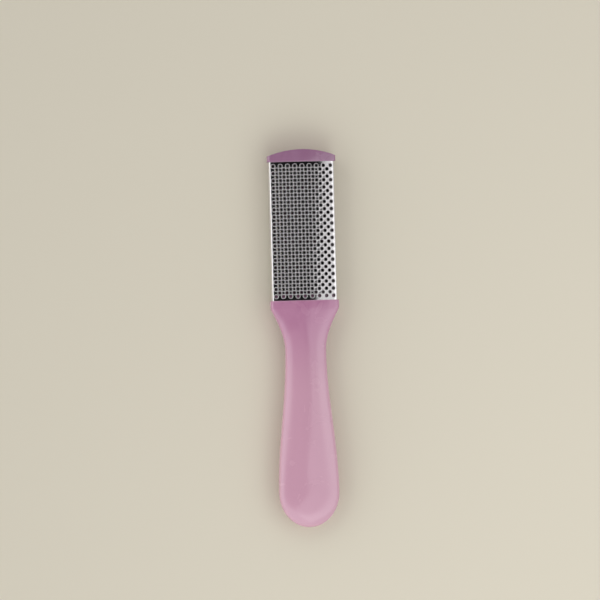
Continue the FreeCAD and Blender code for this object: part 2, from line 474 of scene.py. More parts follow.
@dataclass
class Grip:
    """Sizes of the hand grip, from the collar's back to the butt.

    Attributes:
        collar_length: Length of the collar.
        neck_place: Distance of the narrowest place behind the collar's face.
        neck_width: Width there.
        neck_thickness: Thickness there.
        belly_place: Distance of the thickest place.
        widest_place: Distance of the widest place, where the butt begins.
        width: Width there.
        butt_thickness: Thickness there.
        crown_share: Share of the half height that the crowned faces take.
        corner_share: Share of the upright side that its round takes.
        flank_steps: Rings from the collar to the neck.
        body_steps: Rings from the neck to the widest place.
        butt_steps: Rings in the butt.
    """

    collar_length: float = 3.4 * MM
    neck_place: float = 21.0 * MM
    neck_width: float = 17.1 * MM
    neck_thickness: float = 9.4 * MM
    belly_place: float = 58.0 * MM
    widest_place: float = 80.0 * MM
    width: float = 25.2 * MM
    butt_thickness: float = 10.4 * MM
    crown_share: float = 0.5
    corner_share: float = 0.92
    flank_steps: int = 16
    body_steps: int = 40
    butt_steps: int = 18

    def section(self, head: Head, place: float) -> Section:
        """The grip's section at a distance behind the collar's face.

        Args:
            head: Sizes of the head, whose collar the grip grows out of.
            place: The distance.

        Returns:
            The section there.
        """
        collar = head.section(head.rim_proud)
        neck_half, neck_high = self.neck_width / 2, self.neck_thickness / 2
        full_half, butt_high = self.width / 2, self.butt_thickness / 2
        near_collar = 0.0
        if place <= self.neck_place:
            flank = (place - self.collar_length) / (self.neck_place - self.collar_length)
            near_collar = 1 - math.sin(QUARTER_TURN * flank)
            half = between(neck_half, collar.half_width, near_collar)
            high = between(neck_high, collar.half_height, near_collar)
        elif place <= self.widest_place:
            half = eased(place, self.neck_place, self.widest_place, neck_half, full_half)
            if place <= self.belly_place:
                high = eased(place, self.neck_place, self.belly_place, neck_high, collar.half_height)
            else:
                high = eased(place, self.belly_place, self.widest_place, collar.half_height, butt_high)
        else:
            end = (place - self.widest_place) / (head.handle_length - self.widest_place)
            roundness = math.sqrt(max(0.0, 1 - end ** 2))
            half, high = full_half * roundness, butt_high * roundness
        collar_drop = collar.crown_radius - math.sqrt(collar.crown_radius ** 2 - collar.half_width ** 2)
        collar_corner = collar.corner_radius / (collar.half_height - collar_drop)
        drop = high * between(self.crown_share, collar_drop / collar.half_height, near_collar)
        corner = between(self.corner_share, collar_corner, near_collar)
        return Section(half, high, (half ** 2 + drop ** 2) / (2 * drop), corner * (high - drop))

    def places(self, head: Head) -> list[float]:
        """Works out where the grip has a ring.

        Args:
            head: Sizes of the head, which give the butt's end.

        Returns:
            Distances behind the collar's face, from the collar to the butt.
        """
        flank = [between(self.collar_length, self.neck_place, step / self.flank_steps)
                 for step in range(1, self.flank_steps)]
        body = [between(self.neck_place, self.widest_place, step / self.body_steps)
                for step in range(self.body_steps)]
        turn = QUARTER_TURN / (self.butt_steps + 1)
        butt = [between(self.widest_place, head.handle_length, math.sin(turn * step))
                for step in range(self.butt_steps + 1)]
        return flank + body + butt


@dataclass
class Handle:
    """The pink moulding: core, collar and grip in one skin.

    Attributes:
        head: Sizes shared with the other pieces.
        grip: Sizes of the hand grip.
        steps: How finely the rings are divided.
        edge_round: Round of the collar's front edge.
        crease_round: Round of the crease behind the collar.
        side_wall: Wall between the hollow and the plates' sides.
        root_length: Length of the solid core in front of the collar.
        end_wall: Wall between the hollow and the core's tip.
        rib: Thickness of the cross ribs.
        rib_height: Their height.
        windows: Openings between them.
        window_corner: Round of the hollow's corners.
        corner_turn: Least turn of such a corner, in radians.
        fin_setback: How far the fin stays behind the plates' sides.
        lip_length: Width of the plates' lips, which the grooves take.
        edge_segments: Steps in the rounds of the collar's edge and the hollow's corners.
        crease_segments: Steps in the round of the crease.
        sharp_degrees: Edges that turn by more stay crisp.
    """

    head: Head
    grip: Grip = field(default_factory=Grip)
    steps: RingSteps = RingSteps()
    edge_round: float = 0.4 * MM
    crease_round: float = 0.5 * MM
    side_wall: float = 1.4 * MM
    root_length: float = 4.0 * MM
    end_wall: float = 2.2 * MM
    rib: float = 1.5 * MM
    rib_height: float = 2.0 * MM
    windows: int = 5
    window_corner: float = 1.0 * MM
    corner_turn: float = 1.0
    fin_setback: float = 0.2 * MM
    lip_length: float = 1.0 * MM
    edge_segments: int = 4
    crease_segments: int = 3
    sharp_degrees: float = 40.0

    @property
    def fin_edge(self) -> float:
        """Distance of the fins' edges from the middle."""
        return self.head.plate_width / 2 - self.fin_setback

    def build(self, material: Material) -> Object:
        """Grows the skin from the core's tip to the butt.

        Args:
            material: The moulding's finish.

        Returns:
            The piece.
        """
        head = self.head
        mesh = bmesh.new()
        mesh.verts.layers.float.new(INSIDE)
        core = head.section(-head.sheet - head.fit)
        stack = RingStack(mesh, self.steps, core, head.plate_top)
        stack.close()
        stack.carry(core, -head.pocket_depth)
        stack.carry(head.section(head.fit), -head.pocket_depth)
        stack.carry(head.section(head.fit), 0.0)
        stack.carry(head.section(head.rim_proud), 0.0)
        front = stack.edges()
        stack.carry(head.section(head.rim_proud), -self.grip.collar_length)
        crease = stack.edges()
        for place in self.grip.places(head):
            stack.carry(self.grip.section(head, place), -place)
        stack.draw_to_point(-head.handle_length)
        bevel_edges(mesh, front, self.edge_round, self.edge_segments)
        bevel_edges(mesh, crease, self.crease_round, self.crease_segments)
        self.cut_rails(mesh)
        shape_tongue(mesh, head, head.plate_top, 0.0)
        self.open_frame(mesh)
        # The frame's inside is marked for painted shade.
        self.paint_inside_shade(mesh)
        piece = Piece("grip_and_core", "handle", Slot.PLASTIC, self.sharp_degrees)
        return piece.finish(mesh, head.origin, material)

    def core_faces(self, mesh: BMesh) -> list[BMFace]:
        """The core's faces that stand out in front of the collar."""
        return [face for face in mesh.faces if max(vert.co.y for vert in face.verts) > 2 * self.edge_round]

    def cut_rails(self, mesh: BMesh) -> None:
        """Cuts the grooves that the plates' lips slide in and raises the fin between them.

        Args:
            mesh: The moulding's skin.
        """
        head = self.head
        fin_half = head.rail / 2 - head.fit
        groove_top = head.rail / 2 + head.sheet + head.fit
        groove_floor = head.plate_width / 2 - self.lip_length - head.fit
        for level in (fin_half, -fin_half, groove_top, -groove_top):
            score(mesh, self.core_faces(mesh), level * UP, UP)
        for sign in BOTH_SIDES:
            sides = [face for face in self.core_faces(mesh)
                     if face.calc_center_median().x * sign > groove_floor]
            fin = [face for face in sides if abs(face.calc_center_median().z) < fin_half]
            grooves = [face for face in sides if fin_half < abs(face.calc_center_median().z) < groove_top]
            for faces, reach in ((fin, self.fin_edge), (grooves, groove_floor)):
                push(mesh, faces, lambda co, edge=sign * reach: Vector((edge, co.y, co.z)))

    def open_frame(self, mesh: BMesh) -> None:
        """Opens the hollow right through the core and sets the low cross ribs in it.

        Args:
            mesh: The moulding's skin.
        """
        head = self.head
        half = head.plate_width / 2 - head.sheet - head.fit - self.side_wall
        foot, top = self.root_length, head.plate_top - self.end_wall
        for x in (half, -half):
            score(mesh, self.core_faces(mesh), x * ACROSS, ACROSS)
        for y in (foot, top):
            score(mesh, self.core_faces(mesh), y * ALONG, ALONG)
        lids = [face for face in self.core_faces(mesh)
                if abs(face.calc_center_median().x) < half and foot < face.calc_center_median().y < top]
        bmesh.ops.delete(mesh, geom=lids, context="FACES")
        openings = [edge for edge in mesh.edges if edge.is_boundary]
        walls = bmesh.ops.bridge_loops(mesh, edges=openings)["faces"]
        upright = [edge for edge in edges_of(walls)
                   if abs(edge.verts[0].co.z - edge.verts[1].co.z) > self.rib_height]
        corners = [edge for edge in upright if edge.calc_face_angle(0.0) > self.corner_turn]
        bevel_edges(mesh, corners, self.window_corner, self.edge_segments)
        pitch = (top - foot + self.rib) / self.windows
        size = Vector((2 * half + self.side_wall / 2, self.rib, self.rib_height))
        for number in range(1, self.windows):
            middle = (foot + number * pitch - self.rib / 2) * ALONG
            place = Matrix.Translation(middle) @ Matrix.Diagonal((*size, 1.0))
            bmesh.ops.create_cube(mesh, size=1.0, matrix=place)

    def paint_inside_shade(self, mesh: BMesh) -> None:
        """Marks the frame's inside for painted shade, which darkens it where little light comes in through
        the holes, and leaves the fins' edges clean.

        Args:
            mesh: The moulding's skin.
        """
        within = [vert for vert in mesh.verts if vert.co.y > self.root_length - TOUCHING
                  and abs(vert.co.x) < self.fin_edge - TOUCHING]
        mark_verts(mesh, within, Mark.HIDDEN)


@dataclass
class TipCap:
    """The pink cap at the tip, arched in plan.

    Attributes:
        head: Sizes shared with the other pieces.
        steps: How finely the rings are divided.
        side_length: Length of the cap at its sides.
        end_round: Round of the arched end.
        lip_round: Round of the lip over the plates.
        end_segments: Steps in the round of the end.
        lip_segments: Steps in the round of the lip.
        sharp_degrees: Edges that turn by more stay crisp.
    """

    head: Head
    steps: RingSteps = RingSteps()
    side_length: float = 2.4 * MM
    end_round: float = 1.0 * MM
    lip_round: float = 0.4 * MM
    end_segments: int = 5
    lip_segments: int = 3
    sharp_degrees: float = 40.0

    def end_at(self, x: float) -> float:
        """The arched end's place along the file.

        Args:
            x: Distance from the file's middle.

        Returns:
            The place.
        """
        half = self.head.plate_width / 2 + self.head.rim_proud
        arch = self.head.cap_length - self.side_length
        radius = (half ** 2 + arch ** 2) / (2 * arch)
        return self.head.shown_length + self.head.cap_length - radius + math.sqrt(radius ** 2 - x ** 2)

    def build(self, material: Material) -> Object:
        """Grows the cap from the floor of its rebate to the arched end.

        Args:
            material: The cap's finish.

        Returns:
            The piece.
        """
        head = self.head
        mesh = bmesh.new()
        rebate_floor = head.shown_length + head.rebate_depth
        rebate = head.section(head.fit)
        outside = head.section(head.rim_proud)
        stack = RingStack(mesh, self.steps, rebate, rebate_floor)
        stack.close()
        stack.carry(rebate, head.shown_length)
        stack.carry(outside, head.shown_length)
        lip = stack.edges()
        stack.carry(outside, self.end_at)
        end = stack.edges()
        stack.close_upright()
        bevel_edges(mesh, end, self.end_round, self.end_segments)
        bevel_edges(mesh, lip, self.lip_round, self.lip_segments)
        shape_tongue(mesh, head, rebate_floor, head.fit)
        piece = Piece("arched_tip_cap", "tip_cap", Slot.PLASTIC, self.sharp_degrees)
        return piece.finish(mesh, head.origin, material)


@dataclass(frozen=True)
class RimRing:
    """A ring of a hole's raised rim.

    Attributes:
        inward_share: Share of the way from the rim's base to the hole.
        upward_share: Share of the rim's height.
        mark: What the skin is there.
    """

    inward_share: float
    upward_share: float
    mark: Mark


@dataclass(frozen=True)
class Punch:
    """The raised-rim hole that a plate is pierced with.

    Attributes:
        hole: Diameter of the hole at its rim.
        base: Diameter of the raised rim where it leaves the sheet.
        height: Height of the rim.
        dish: How deep the web between four rims is drawn down.
        rings: The rim's rings, from its base to the hole.
    """

    hole: float
    base: float
    height: float
    dish: float
    # The last ring is marked hidden, so the hole's wall below it gets painted shade.
    rings: tuple[RimRing, ...] = (
        RimRing(0.12, 0.45, Mark.CLEAN), RimRing(0.38, 0.94, Mark.TORN),
        RimRing(0.50, 1.0, Mark.TORN), RimRing(1.0, 0.85, Mark.HIDDEN))

    @property
    def bore_radius(self) -> float:
        """Radius of the opening in the sheet's inside, midway between the hole and the rim's base."""
        return (self.base + self.hole) / 4

    def ring_radius(self, ring: RimRing) -> float:
        """Radius of a ring of the rim."""
        return between(self.base / 2, self.hole / 2, ring.inward_share)


PUNCHES = {
    Side.COARSE: Punch(hole=1.3 * MM, base=2.0 * MM, height=0.22 * MM, dish=0.045 * MM),
    Side.FINE: Punch(hole=0.9 * MM, base=1.45 * MM, height=0.15 * MM, dish=0.03 * MM),
}


@dataclass(frozen=True)
class Stretch:
    """A stretch of a pressed plate's outline, bent to one radius or straight.

    Attributes:
        length: Its length along the sheet's outside.
        centre: Centre of its bend, or of the bend that it runs straight on from.
        radius: Radius of the sheet's outside there.
        angle: Direction of its start from the centre, measured from the upright.
        straight: Whether it runs on straight.
    """

    length: float
    centre: Vector
    radius: float
    angle: float
    straight: bool = False

    def point(self, run: float, height: float) -> Vector:
        """A point on the stretch, or above it.

        Args:
            run: Distance from its start.
            height: Height above the sheet's outside.

        Returns:
            The point, across the file and up.
        """
        angle, centre = self.angle, self.centre
        if self.straight:
            centre = centre + run * Vector((math.cos(angle), -math.sin(angle)))
        else:
            angle += run / self.radius
        return centre + (self.radius + height) * Vector((math.sin(angle), math.cos(angle)))


@dataclass
class RaspPlate:
    """A flat blank, pierced in staggered rows and pressed into a crowned channel with rolled-in lips.

    Attributes:
        head: Sizes shared with the other pieces.
        side: The face of the file that it covers.
        pitch: Distance between the holes of a row.
        columns: Columns of holes on each side of the middle one.
        rows: Steps between the first row and the last one.
        facets: Corners of a hole.
        inset_share: Share of the row pitch by which a rim's first ring is drawn in before it is rounded.
        lip_length: Width of the rolled-in lips.
        lip_bend: Radius of their bend.
        bend_steps: Steps in each bend.
        sharp_degrees: Edges that turn by more stay crisp.
    """

    head: Head
    side: Side
    pitch: float = 3.0 * MM
    columns: int = 8
    rows: int = 36
    facets: int = 12
    inset_share: float = 0.02
    lip_length: float = 1.0 * MM
    lip_bend: float = 0.5 * MM
    bend_steps: int = 4
    sharp_degrees: float = 48.0

    @property
    def punch(self) -> Punch:
        """The punch that the plate is pierced with."""
        return PUNCHES[self.side]

    @property
    def row_pitch(self) -> float:
        """Distance between rows, and between the columns of neighbouring rows."""
        return self.pitch / 2

    @property
    def first_row(self) -> float:
        """Place of the first row along the file."""
        return (self.head.shown_length - self.rows * self.row_pitch) / 2

    @property
    def field_half(self) -> float:
        """Half the width of the pierced field."""
        return (self.columns + 1) * self.row_pitch

    def build(self, material: Material) -> Object:
        """Makes the blank, pierces it and presses it to shape.

        Args:
            material: The plate's finish.

        Returns:
            The piece.
        """
        mesh = bmesh.new()
        mesh.verts.layers.float.new(INSIDE)
        self.pierce(mesh, self.lay_out_cells(mesh))
        self.score_bends(mesh)
        self.extend(mesh)
        edges = [edge for edge in mesh.edges if edge.is_boundary]
        bmesh.ops.bridge_loops(mesh, edges=edges)
        self.press(mesh)
        if self.side is Side.FINE:
            turn = Matrix.Rotation(math.pi, 4, "Y")
            bmesh.ops.transform(mesh, matrix=turn, verts=mesh.verts)
        name = self.side.value + "_rasp"
        piece = Piece(name, name + "_plate", Slot.STEEL, self.sharp_degrees)
        return piece.finish(mesh, self.head.origin, material)

    def lay_out_cells(self, mesh: BMesh) -> list[BMFace]:
        """Divides the flat blank into one diamond for each hole, with dished corners.

        Args:
            mesh: An empty mesh.

        Returns:
            The diamonds.
        """
        across, along = 2 * (self.columns + 1), self.rows + 2
        middle = self.first_row + self.rows * self.row_pitch / 2
        size = Matrix.Diagonal((across * self.row_pitch / 2, along * self.row_pitch / 2, 1.0, 1.0))
        place = Matrix.Translation(middle * ALONG) @ size
        bmesh.ops.create_grid(mesh, x_segments=across, y_segments=along, size=1.0, matrix=place)
        holes, webs = [], []
        for vert in mesh.verts:
            column = round(vert.co.x / self.row_pitch)
            row = round((vert.co.y - self.first_row) / self.row_pitch)
            if (row + column + self.columns) % 2:
                webs.append(vert)
            elif 0 <= row <= self.rows and abs(column) <= self.columns:
                holes.append(vert)
        bmesh.ops.connect_verts(mesh, verts=webs)
        centres = {rounded(vert.co) for vert in holes}
        bmesh.ops.dissolve_verts(mesh, verts=holes)
        cells = [face for face in mesh.faces
                 if len(face.verts) == DIAMOND_SIDES and rounded(face.calc_center_median()) in centres]
        bmesh.ops.bisect_edges(mesh, edges=edges_of(cells), cuts=self.facets // DIAMOND_SIDES - 1)
        shared = set(cells)
        dished = [vert for vert in mesh.verts
                  if sum(face in shared for face in vert.link_faces) == DIAMOND_SIDES]
        bmesh.ops.translate(mesh, verts=dished, vec=-self.punch.dish * UP)
        return cells

    def set_round(self, faces: list[BMFace], radius: float, height: float) -> None:
        """Sets each face's corners evenly on a circle about its middle.

        Args:
            faces: The faces.
            radius: The circle's radius.
            height: Its height above the sheet's outside.
        """
        step = 2 * math.pi / self.facets
        for face in faces:
            corners = [vert.co for vert in face.verts]
            middle = sum(corners, Vector()) / len(corners)
            for vert in face.verts:
                angle = step * round(math.atan2(vert.co.y - middle.y, vert.co.x - middle.x) / step)
                x, y = middle.x + radius * math.cos(angle), middle.y + radius * math.sin(angle)
                vert.co = Vector((x, y, height))

    def pierce(self, mesh: BMesh, cells: list[BMFace]) -> None:
        """Raises a rim in each diamond, opens it and lays the sheet's inside under it.

        The torn edges are marked as such, and the inside and the walls of the holes are marked for painted
        shade.

        Args:
            mesh: The blank.
            cells: Its diamonds.
        """
        punch, sheet = self.punch, self.head.sheet
        bmesh.ops.inset_individual(mesh, faces=cells, thickness=self.row_pitch * self.inset_share)
        self.set_round(cells, punch.base / 2, 0.0)
        copy = bmesh.ops.duplicate(mesh, geom=mesh.verts[:] + mesh.edges[:] + mesh.faces[:])
        under = [copy["face_map"][face] for face in cells]
        lower = verts_of(copy["geom"])
        bmesh.ops.translate(mesh, verts=lower, vec=-sheet * UP)
        mark_verts(mesh, lower, Mark.HIDDEN)
        self.set_round(under, punch.bore_radius, -sheet)
        tops = cells
        for ring in punch.rings:
            tops = bmesh.ops.extrude_discrete_faces(mesh, faces=tops)["faces"]
            self.set_round(tops, punch.ring_radius(ring), ring.upward_share * punch.height)
            mark_verts(mesh, [vert for face in tops for vert in face.verts], ring.mark)
        tops = bmesh.ops.extrude_discrete_faces(mesh, faces=tops)["faces"]
        self.set_round(tops, punch.bore_radius, -sheet)
        bmesh.ops.delete(mesh, geom=tops + under, context="FACES_ONLY")
        bmesh.ops.remove_doubles(mesh, verts=mesh.verts, dist=TOUCHING)

    def stretches(self) -> list[Stretch]:
        """Divides half the plate's outline into its bends and straight runs.

        Returns:
            The crown, the bend, the side, the lip's bend and the lip.
        """
        section = self.head.section(0.0)
        corner = section.corner_centre
        lip_level = self.head.rail / 2 + self.lip_bend
        lip_centre = Vector((section.half_width - self.lip_bend, lip_level))
        crown, bend = section.crown_radius, section.corner_radius
        return [
            Stretch(crown * section.crown_angle, section.crown_centre, crown, 0.0),
            Stretch(bend * (QUARTER_TURN - section.crown_angle), corner, bend, section.crown_angle),
            Stretch(corner.y - lip_level, corner, bend, QUARTER_TURN, straight=True),
            Stretch(self.lip_bend * QUARTER_TURN, lip_centre, self.lip_bend, QUARTER_TURN),
            Stretch(self.lip_length - self.lip_bend, lip_centre, self.lip_bend, math.pi, straight=True),
        ]

    def flat_stops(self) -> list[float]:
        """Works out where the blank bends, with steps inside the bends.

        Returns:
            Distances from the blank's middle, from the crown's end to the blank's edge.
        """
        crown, *others = self.stretches()
        stops, start = [], crown.length
        for stretch in others:
            if not stretch.straight:
                step = stretch.length / self.bend_steps
                stops += [start + step * number for number in range(self.bend_steps + 1)]
            start += stretch.length
        return stops + [start]

    def score_bends(self, mesh: BMesh) -> None:
        """Divides the pierced field along the bends that begin inside it.

        Args:
            mesh: The pierced blank.
        """
        for stop in (stop for stop in self.flat_stops() if stop < self.field_half):
            for sign in BOTH_SIDES:
                score(mesh, mesh.faces[:], sign * stop * ACROSS, ACROSS)

    def extend(self, mesh: BMesh) -> None:
        """Adds the plain ends and the strips that become the bends, flanges and lips.

        Args:
            mesh: The pierced blank.
        """
        middle = self.head.shown_length / 2

        def lies_at_end(edge: BMEdge, place: float) -> bool:
            """Whether an edge of the blank lies across it at the end nearest to a place."""
            one, two = (vert.co for vert in edge.verts)
            return abs(one.y - two.y) < TOUCHING and (one.y > middle) == (place > middle)

        def lies_along(edge: BMEdge, x: float) -> bool:
            """Whether an edge of the blank runs along it at a distance from its middle line."""
            return all(abs(vert.co.x - x) < TOUCHING for vert in edge.verts)

        for place in (self.head.plate_foot, self.head.plate_top):
            outer = [edge for edge in mesh.edges if edge.is_boundary and lies_at_end(edge, place)]
            for vert in verts_of(bmesh.ops.extrude_edge_only(mesh, edges=outer)["geom"]):
                vert.co.y = place
        for sign in BOTH_SIDES:
            strip = [edge for edge in mesh.edges
                     if edge.is_boundary and lies_along(edge, sign * self.field_half)]
            for stop in (stop for stop in self.flat_stops() if stop > self.field_half):
                made = bmesh.ops.extrude_edge_only(mesh, edges=strip)["geom"]
                for vert in verts_of(made):
                    vert.co.x = sign * stop
                strip = [item for item in made
                         if isinstance(item, BMEdge) and lies_along(item, sign * stop)]

    def press(self, mesh: BMesh) -> None:
        """Bends the pierced blank over the crown and rolls its lips in.

        Args:
            mesh: The whole blank, whose heights are measured from the sheet's outside.
        """
        *others, lip = self.stretches()
        for vert in mesh.verts:
            run = abs(vert.co.x)
            stretch = lip
            for other in others:
                if run <= other.length:
                    stretch = other
                    break
                run -= other.length
            point = stretch.point(run, vert.co.z)
            vert.co = Vector((math.copysign(1.0, vert.co.x) * point.x, vert.co.y, point.y))


class Sheet:
    """A node tree that nodes are added to and joined in."""

    def __init__(self, tree: NodeTree) -> None:
        """Takes the tree."""
        self.tree = tree

    def add(self, kind: str, inputs: dict[str | int, object] | None = None, **settings: object) -> Node:
        """Adds a node.

        Args:
            kind: The node's type name, without its common beginning.
            inputs: Values, or sockets to join, by the input's name or number.
            settings: Other properties of the node.

        Returns:
            The new node.
        """
        node = self.tree.nodes.new("ShaderNode" + kind)
        for name, value in settings.items():
            setattr(node, name, value)
        for name, value in (inputs or {}).items():
            self.feed(node.inputs[name], value)
        return node

    def feed(self, socket: NodeSocket, value: object) -> None:
        """Sets an input to a value, or joins it to another node's output.

        Args:
            socket: The input.
            value: The value, or the output's socket.
        """
        if isinstance(value, NodeSocket):
            self.tree.links.new(value, socket)
        else:
            socket.default_value = value

    def math(self, operation: str, *numbers: object) -> NodeSocket:
        """Combines numbers, each a value or a socket."""
        return self.add("Math", dict(enumerate(numbers)), operation=operation).outputs[0]

    def ramp(self, value: NodeSocket, low: float, high: float, to_low: float = 0.0,
             to_high: float = 1.0) -> NodeSocket:
        """Maps a range of a value smoothly onto another one.

        Args:
            value: The value's socket.
            low: Start of its range.
            high: End of its range.
            to_low: Result at the start.
            to_high: Result at the end.

        Returns:
            The result's socket.
        """
        inputs = {"Value": value, "From Min": low, "From Max": high, "To Min": to_low, "To Max": to_high}
        return self.add("MapRange", inputs, interpolation_type="SMOOTHSTEP").outputs["Result"]

    def mix(self, share: NodeSocket, one: object, two: object) -> NodeSocket:
        """Mixes two colours, each a value or a socket, by the share of the second one."""
        inputs = {MIX_SHARE: share, MIX_ONE: one, MIX_TWO: two}
        return self.add("Mix", inputs, data_type="RGBA").outputs[MIX_RESULT]

    def mapping(self, vector: NodeSocket, name: str, value: object) -> NodeSocket:
        """Scales or turns coordinates, as the mapping's named input says."""
        return self.add("Mapping", {"Vector": vector, name: value}).outputs["Vector"]

    def parts(self, vector: NodeSocket) -> bpy.types.bpy_prop_collection:
        """The X, Y and Z of a vector."""
        return self.add("SeparateXYZ", {"Vector": vector}).outputs

    def millimetres(self) -> NodeSocket:
        """The piece's own coordinates, in millimetres."""
        return self.mapping(self.add("TexCoord").outputs["Object"], "Scale", Vector((1.0, 1.0, 1.0)) / MM)

    def marks(self) -> NodeSocket:
        """What the skin is, as its points are marked."""
        return self.add("Attribute", attribute_name=INSIDE).outputs["Fac"]

    def emboss(self, shader: Node, relief: NodeSocket, strength: float, distance: float) -> None:
        """Gives a shader a relief of some strength and depth."""
        bump = self.add("Bump", {"Strength": strength, "Distance": distance, "Height": relief})
        self.feed(shader.inputs["Normal"], bump.outputs["Normal"])


@dataclass(frozen=True)
class Pattern:
    """A noise pattern and the part of its range that shows.

    Attributes:
        scale: Lumps to each unit of its coordinates.
        detail: Finer layers in it.
        stir: How much it is distorted.
        span: Where in its range it begins to show and shows in full, or none for the whole range.
        stretch: Scale of its coordinates along each axis, if they are stretched.
        turn: Their turn about the upright before that, in radians.
    """

    scale: float = 1.0
    detail: float = 2.0
    stir: float = 0.0
    span: Span | None = None
    stretch: tuple[float, float, float] | None = None
    turn: float = 0.0

    def place(self, sheet: Sheet, vector: NodeSocket) -> NodeSocket:
        """Puts the pattern into a node tree.

        Args:
            sheet: The tree's nodes.
            vector: Coordinates in millimetres.

        Returns:
            The pattern's socket.
        """
        if self.turn:
            vector = sheet.mapping(vector, "Rotation", self.turn * UP)
        if self.stretch:
            vector = sheet.mapping(vector, "Scale", self.stretch)
        inputs = {"Vector": vector, "Scale": self.scale, "Detail": self.detail, "Distortion": self.stir}
        noise = sheet.add("TexNoise", inputs).outputs["Fac"]
        return sheet.ramp(noise, *self.span) if self.span else noise


@dataclass(frozen=True)
class EffectGroup:
    """An effect that both finishes use, built once as a node group.

    Attributes:
        name: The group's name.
    """

    name: str

    def results(self, sheet: Sheet, vector: NodeSocket) -> dict[str, NodeSocket]:
        """Lays the effect's nodes and gives the group's outputs by name."""
        raise NotImplementedError

    def tree(self) -> NodeTree:
        """Gives the effect's node group, built at its first use.

        Returns:
            The node group.
        """
        made = bpy.data.node_groups.get(self.name)
        if made:
            return made
        group = bpy.data.node_groups.new(self.name, "ShaderNodeTree")
        group.interface.new_socket("Vector", in_out="INPUT", socket_type="NodeSocketVector")
        sheet = Sheet(group)
        vector = group.nodes.new("NodeGroupInput").outputs["Vector"]
        out = group.nodes.new("NodeGroupOutput")
        for name, socket in self.results(sheet, vector).items():
            group.interface.new_socket(name, in_out="OUTPUT", socket_type="NodeSocketFloat")
            sheet.feed(out.inputs[name], socket)
        return group

    def place(self, sheet: Sheet, vector: NodeSocket) -> bpy.types.bpy_prop_collection:
        """Puts the effect into a material, on coordinates in millimetres, and gives its outputs."""
        return sheet.add("Group", {"Vector": vector}, node_tree=self.tree()).outputs


@dataclass(frozen=True)
class FineScratches(EffectGroup):
    """Straight hairlines in three directions on the two faces, fading out towards the sides.

    Attributes:
        name: The group's name.
        lines: The hairlines of each direction.
        upright_span: How upright the skin's normal is where they begin and where they show in full.
    """

    name: str = "fine_scratches"
    lines: tuple[Pattern, ...] = (
        Pattern(detail=1.0, span=(0.70, 0.78), stretch=(7.0, 0.08, 0.0), turn=0.3),
        Pattern(detail=1.0, span=(0.70, 0.78), stretch=(5.0, 0.11, 0.0), turn=-0.5),
        Pattern(detail=1.0, span=(0.70, 0.78), stretch=(6.0, 0.10, 0.0), turn=1.2))
    upright_span: Span = (0.5, 0.85)

    def results(self, sheet: Sheet, vector: NodeSocket) -> dict[str, NodeSocket]:
        """Lays the effect's nodes.

        Args:
            sheet: The group's nodes.
            vector: Coordinates in millimetres.

        Returns:
            The scratches' mask.
        """
        mask, *others = [line.place(sheet, vector) for line in self.lines]
        for other in others:
            mask = sheet.math("MAXIMUM", mask, other)
        normal = sheet.add("TexCoord").outputs["Normal"]
        upright = sheet.math("ABSOLUTE", sheet.parts(normal)["Z"])
        return {"Mask": sheet.math("MULTIPLY", mask, sheet.ramp(upright, *self.upright_span))}


@dataclass(frozen=True)
class HandlingMarks(EffectGroup):
    """Broad smudges and scattered specks of dust.

    Attributes:
        name: The group's name.
        smudge: The smudges.
        dust: The specks.
    """

    name: str = "handling_marks"
    smudge: Pattern = Pattern(0.11, 4.0, 0.8, (0.42, 0.72))
    dust: Pattern = Pattern(2.6, 1.0, 0.0, (0.73, 0.80))

    def results(self, sheet: Sheet, vector: NodeSocket) -> dict[str, NodeSocket]:
        """Lays the effect's nodes and gives the masks of the smudges and the dust."""
        return {"Smudge": self.smudge.place(sheet, vector), "Dust": self.dust.place(sheet, vector)}


def new_material(name: str) -> tuple[Material, Sheet, Node]:
    """Starts a node material.

    Args:
        name: Its name.

    Returns:
        The material, its nodes and its shader.
    """
    material = bpy.data.materials.new(name)
    material.use_nodes = True
    return material, Sheet(material.node_tree), material.node_tree.nodes["Principled BSDF"]


